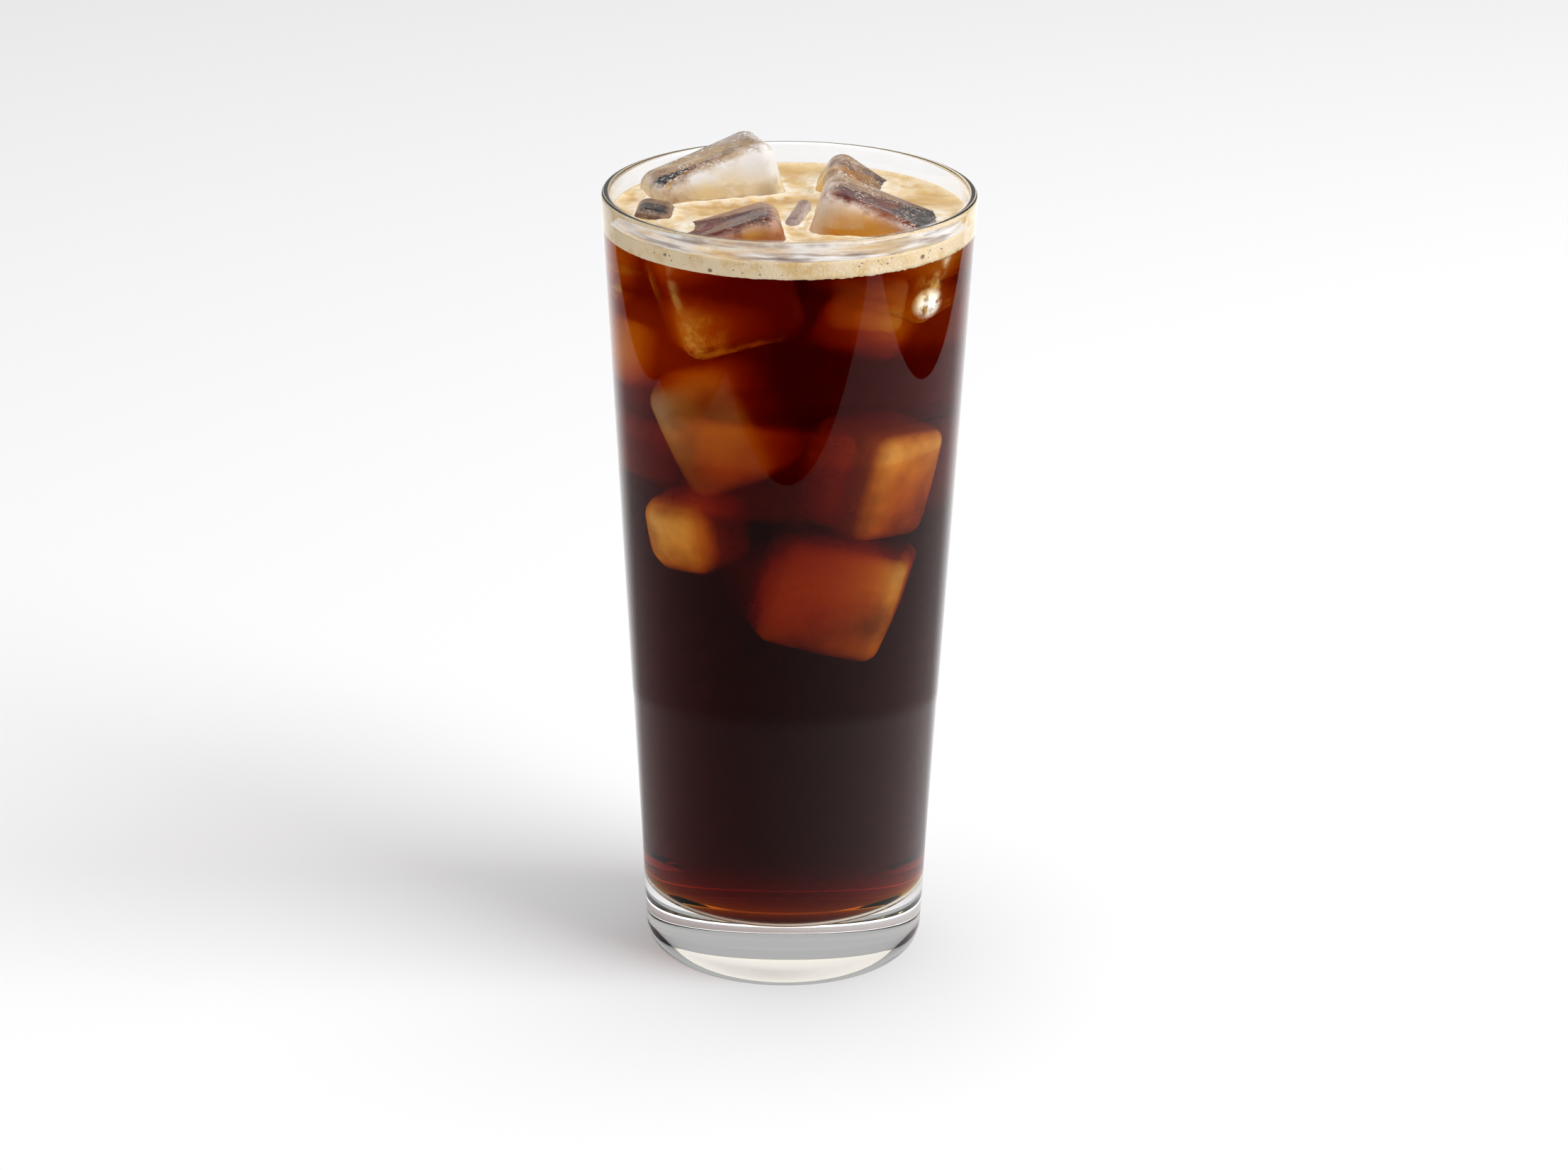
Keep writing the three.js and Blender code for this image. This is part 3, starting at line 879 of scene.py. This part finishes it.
def pebble(angle, radius, height, half, rows, columns):
    """Points, faces and edge share of a flattened ball at (angle, radius, height). With p the angle from the
    outward direction and q the angle round it, a point is out by cos p, along by sin p cos q, up by
    sin p sin q, each times its half size, and the edge share is sin p. Small flat faces close its poles."""
    from_pole = np.linspace(0.02, math.pi - 0.02, rows)
    about_pole = np.linspace(0, 2 * math.pi, columns, endpoint=False)
    polar, round_ = np.meshgrid(from_pole, about_pole, indexing="ij")
    along = half[0] * np.sin(polar) * np.cos(round_)
    out = radius + half[1] * np.cos(polar)
    up = half[2] * np.sin(polar) * np.sin(round_)
    turn = angle + along / radius
    points = np.stack([out * np.cos(turn), out * np.sin(turn), height + up], -1).reshape(-1, 3)
    index = np.arange(rows * columns).reshape(rows, columns)
    after = np.roll(index, -1, 1)
    faces = np.stack([index[:-1], index[1:], after[1:], after[:-1]], -1).reshape(-1, 4).tolist()
    faces += [index[0].tolist(), index[-1, ::-1].tolist()]
    return points, faces, np.sin(polar).ravel()


spread = np.random.default_rng(5)
places = [(math.radians(turn), height, size) for turn, height, size in BUBBLES]
for _ in range(SMALL_BUBBLES):
    turn = spread.uniform(*SMALL_BUBBLE_ANGLES)
    height = FOAM_LEVEL - spread.uniform(*SMALL_BUBBLES_UNDER_FOAM_TOP)
    places.append((turn, height, spread.uniform(*SMALL_BUBBLE_SIZES)))
points, faces, edges = [], [], []
for turn, height, size in places:
    half = (size, BUBBLE_DEPTH, size * BUBBLE_SQUASH)
    some, sides, edge = pebble(turn, inner_radius(height), height, half, *BUBBLE_STEPS)
    faces += [[corner + len(points) * len(some) for corner in side] for side in sides]
    points.append(some)
    edges.append(edge)
bubbles = mesh_piece("wall_bubbles", np.vstack(points), faces, [bubble_material()])
add_looks(bubbles, {"edge": np.concatenate(edges)})
turn, height = math.radians(FROST_PLACE[0]), FROST_PLACE[1]
middle = inner_radius(height) - FROST_HALF[1] - FROST_OFF_WALL
points, faces, edge = pebble(turn, middle, height, FROST_HALF, *FROST_STEPS)
frost_patch = mesh_piece("frost_at_wall", points, faces, [frost_material()])
add_looks(frost_patch, {"edge": edge})
for piece, slot in ((bubbles, "foam"), (frost_patch, "ice")):
    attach(piece, "root")


# The table and the light
# A plain white table and soft light, with the window side on the right. The glass mirrors a dimmer table
# than the eye sees, and four dark screens that stand round it, as in a studio, out of the camera's sight.

TABLE_HALF = 3.0
SCREEN_HEIGHT = 0.3
NEAR_RING = 0.140
SCREENS = {
    "screen_front": [(-0.205, -0.262), (0.286, -0.262)],
    "screen_right": [(0.337, -0.212), (0.337, 0.31)],
    "screen_left": [(-0.335, 0.31), (-0.335, -0.01)],
    "screen_corner": [(-0.335, -0.01), (-0.205, -0.262)],
}
TABLE_WHITE = (0.85, 0.85, 0.86)
MIRROR_OVER_TABLE = 0.0002
RING_EDGE = 0.004
LAMPS = {
    "key": dict(place=(1.2, -0.5, 1.1), aim=(0, 0, 0.08), size=(1.1, 1.1), power=22.3),
    "overhead": dict(place=(0.0, 0.25, 1.8), aim=(0, 0, 0.08), size=(1.6, 1.6), power=13.8),
    "left fill": dict(place=(-0.95, -0.25, 0.14), aim=(0, 0, 0.1), size=(0.5, 0.24), power=0.9),
}
ROOM_LIGHT = 0.46

material, tree = new_material("white table")
finish_material(tree, Wire.node(tree, "ShaderNodeBsdfDiffuse", None, {"Color": (*TABLE_WHITE, 1)}))
corners = np.array([(-1, -1, 0), (1, -1, 0), (1, 1, 0), (-1, 1, 0)]) * TABLE_HALF
table = mesh_piece("table", corners, [(0, 1, 2, 3)], [material])


def mirrored_only(thing):
    """Leaves a thing to be seen in mirrored light alone."""
    thing.visible_camera = False
    thing.visible_diffuse = False
    thing.visible_transmission = False
    thing.visible_volume_scatter = False
    thing.visible_shadow = False


def mirrored_table():
    """The table as the glass mirrors it: dim in front, brighter to the right and behind, six tenths as
    bright past a ring round the glass, and brightest straight behind."""
    material, tree = new_material("mirrored table")
    where = Wire.node(tree, "ShaderNodeTexCoord", None, None, 3)
    flat = Wire.node(tree, "ShaderNodeVectorMath", {"operation": "MULTIPLY"}, {0: where, 1: (1, 1, 0)})
    ahead = Wire.node(tree, "ShaderNodeVectorMath", {"operation": "NORMALIZE"}, {0: flat})
    side = Wire.node(tree, "ShaderNodeSeparateXYZ", None, {0: ahead}, 0)
    depth = Wire.node(tree, "ShaderNodeSeparateXYZ", None, {0: ahead}, 1)
    far = Wire.node(tree, "ShaderNodeVectorMath", {"operation": "LENGTH"}, {0: flat}, 1)
    ring = smooth_step(far, NEAR_RING - RING_EDGE, NEAR_RING + RING_EDGE, 1.0, 0.6)
    level = (side * 0.2 + depth * 0.26 + 0.5) * ring + smooth_step(depth, 0.6, 0.95, 0.0, 0.8)
    finish_material(tree, Wire.node(tree, "ShaderNodeEmission", None, {"Color": level, "Strength": 1.0}))
    material.cycles.emission_sampling = "NONE"
    return material


corners[:, 2] = MIRROR_OVER_TABLE
card = mesh_piece("mirrored_table", corners, [(0, 1, 2, 3)], [mirrored_table()])
mirrored_only(card)
material, tree = new_material("dark screen")
finish_material(tree, Wire.node(tree, "ShaderNodeBsdfDiffuse", None, {"Color": (0, 0, 0, 1)}))
for name, (start, end) in SCREENS.items():
    low = np.array([(*start, 0), (*end, 0)], float)
    high = low + (0, 0, SCREEN_HEIGHT)
    screen = mesh_piece(name, np.vstack([low, high[::-1]]), [(0, 1, 2, 3)], [material])
    mirrored_only(screen)


def soft_box(name, place, aim, size, power):
    """A rectangular lamp of this size at place, turned to aim."""
    lamp = bpy.data.lights.new(name, "AREA")
    lamp.shape = "RECTANGLE"
    lamp.size, lamp.size_y = size
    lamp.energy = power
    holder = bpy.data.objects.new(name, lamp)
    holder.location = place
    holder.rotation_euler = (Vector(aim) - Vector(place)).to_track_quat("-Z", "Y").to_euler()
    bpy.context.scene.collection.objects.link(holder)


for name, lamp in LAMPS.items():
    soft_box(name, **lamp)
world = bpy.data.worlds.new("room")
world.use_nodes = True
world.node_tree.nodes["Background"].inputs["Color"].default_value = (1, 1, 1, 1)
world.node_tree.nodes["Background"].inputs["Strength"].default_value = ROOM_LIGHT
bpy.context.scene.world = world


# The camera
# A long lens from a step away, looking down about twenty degrees and turned a trifle.

CAMERA_DISTANCE = 1.0094
CAMERA_PITCH = math.radians(20.332)
CAMERA_ROLL = math.radians(0.47)
CAMERA_LENS = 114.64
CAMERA_AIM = Vector((-0.00045, 0, 0.07715))
SENSOR_WIDTH = 36

camera_data = bpy.data.cameras.new("camera")
camera_data.lens = CAMERA_LENS
camera_data.sensor_width = SENSOR_WIDTH
camera_data.sensor_fit = "HORIZONTAL"
camera = bpy.data.objects.new("camera", camera_data)
bpy.context.scene.collection.objects.link(camera)
camera.location = Vector((0, -math.cos(CAMERA_PITCH), math.sin(CAMERA_PITCH))) * CAMERA_DISTANCE
camera.location.z += GLASS_TOP / 2
towards = (CAMERA_AIM - camera.location).to_track_quat("-Z", "Y").to_matrix()
camera.rotation_euler = (towards @ Matrix.Rotation(CAMERA_ROLL, 3, "Z")).to_euler()
bpy.context.scene.camera = camera

scene = bpy.context.scene
scene.view_settings.view_transform = "Standard"
scene.cycles.max_bounces = 32
scene.cycles.transmission_bounces = 32
scene.cycles.transparent_max_bounces = 48
scene.cycles.glossy_bounces = 6
scene.cycles.diffuse_bounces = 4
